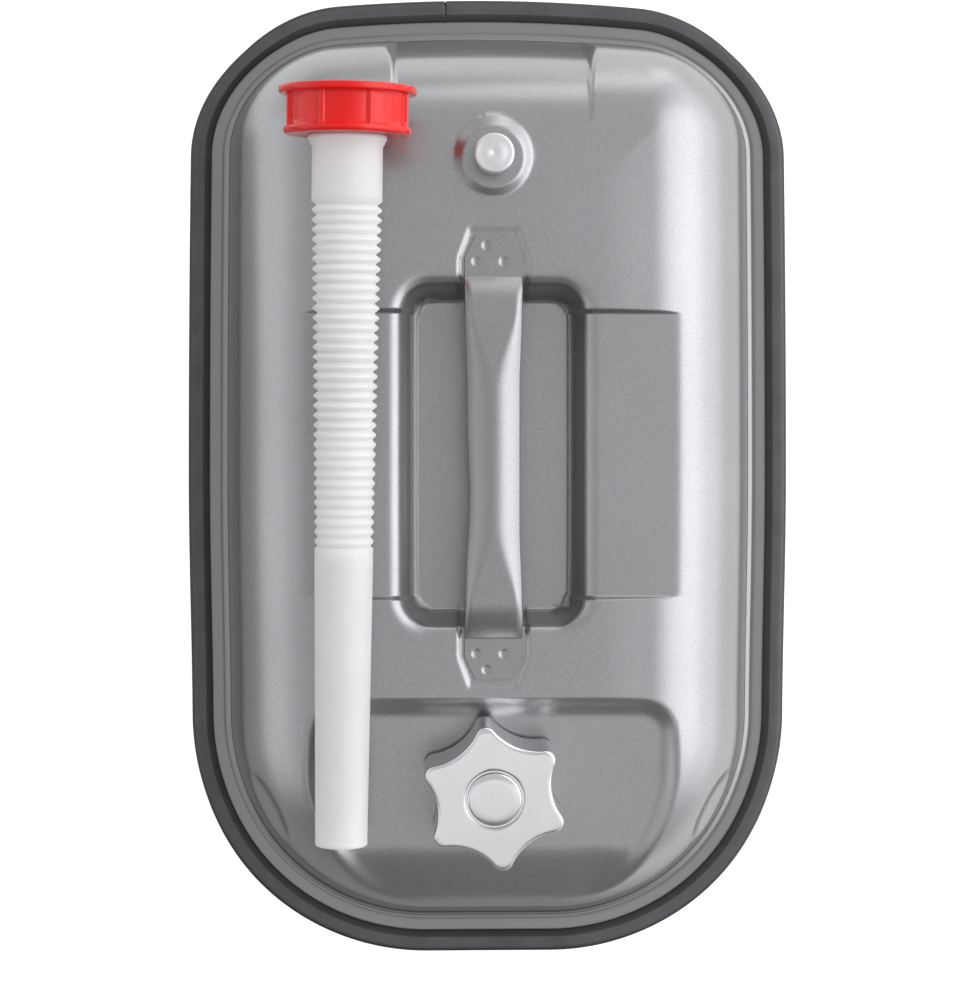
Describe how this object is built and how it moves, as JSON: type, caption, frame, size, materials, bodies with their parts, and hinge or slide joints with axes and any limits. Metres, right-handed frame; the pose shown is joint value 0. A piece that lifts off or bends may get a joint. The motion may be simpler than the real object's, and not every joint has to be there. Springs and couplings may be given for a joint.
{
  "type": "flat jerry can",
  "caption": "Flat pressed-steel fuel can with rubber seam trim, strap handle over a well, lobed screw cap, screw vent and a flexible pouring spout laid along its face.",
  "frame": {"origin": "under the middle of the can's outline, on the surface that its back lies on", "axes": "+Z out of the front face, +Y towards the vent end, +X to the right seen from the front"},
  "size_m": [0.34, 0.54, 0.2354],
  "materials": {
    "shell_steel": "satin silver-grey",
    "trim_rubber": "matt black",
    "handle_steel": "satin silver-grey",
    "neck_steel": "zinc plated",
    "cap_chrome": "polished",
    "cup_steel": "zinc plated",
    "seal_rubber": "matt black",
    "washer_plastic": "matt",
    "vent_chrome": "turned",
    "vent_steel": "zinc plated",
    "collar_plastic": "glossy red",
    "spout_plastic": "milky, translucent"
  },
  "bodies": {
    "can": {"front_shell": "shell_steel", "back_shell": "shell_steel", "rim_trim": "trim_rubber", "handle": "handle_steel", "filler_neck": "neck_steel", "vent_boss": "vent_steel"},
    "cap_seal": {"cap_gasket": "seal_rubber", "cap_slip_washer": "washer_plastic"},
    "cap": {"cap_star": "cap_chrome", "cap_thread_cup": "cup_steel", "cap_disc": "cap_chrome"},
    "vent_seal": {"vent_o_ring": "seal_rubber"},
    "vent": {"vent_stem": "vent_steel", "vent_knob": "vent_chrome", "vent_clip": "vent_steel"},
    "spout": {"spout_neck": "spout_plastic", "spout_gasket": "seal_rubber", "spout_bellows": "spout_plastic"},
    "spout_end": {"spout_tip": "spout_plastic"},
    "collar": {"spout_collar": "collar_plastic"}
  },
  "joints": [
    {"name": "cap_lift", "type": "slide", "parent": "can", "child": "cap_seal", "axis": [0, -0.1392, 0.9903], "range_m": [0, 0.016]},
    {"name": "cap_turn", "type": "hinge", "parent": "cap_seal", "child": "cap", "pos_m": [0, -0.1675, 0.15232], "axis": [0, -0.1392, 0.9903], "range_deg": [0, 1440]},
    {"name": "vent_lift", "type": "slide", "parent": "can", "child": "vent_seal", "axis": [0, 0, 1], "range_m": [0, 0.005]},
    {"name": "vent_turn", "type": "hinge", "parent": "vent_seal", "child": "vent", "pos_m": [0, 0.17, 0.167], "axis": [0, 0, 1], "range_deg": [0, 1440]},
    {"name": "spout_lift", "type": "slide", "parent": "can", "child": "spout", "axis": [0, 0, 1], "range_m": [0, 0.12]},
    {"name": "collar_spin", "type": "hinge", "parent": "spout", "child": "collar", "pos_m": [-0.077, 0.2015, 0.19946], "axis": [0.0105, 0.9979, 0.0637], "continuous": true},
    {"name": "spout_bend", "type": "hinge", "parent": "spout", "child": "spout_end", "pos_m": [-0.07857, 0.05126, 0.18988], "axis": [-0.9999, 0.0105, 0], "range_deg": [0, 60], "deforming": ["spout_bellows"]}
  ],
  "couplings": [
    {"joint": "cap_lift", "follows": "cap_turn", "m_per_rad": 0.00063662},
    {"joint": "vent_lift", "follows": "vent_turn", "m_per_rad": 0.00019894}
  ]
}
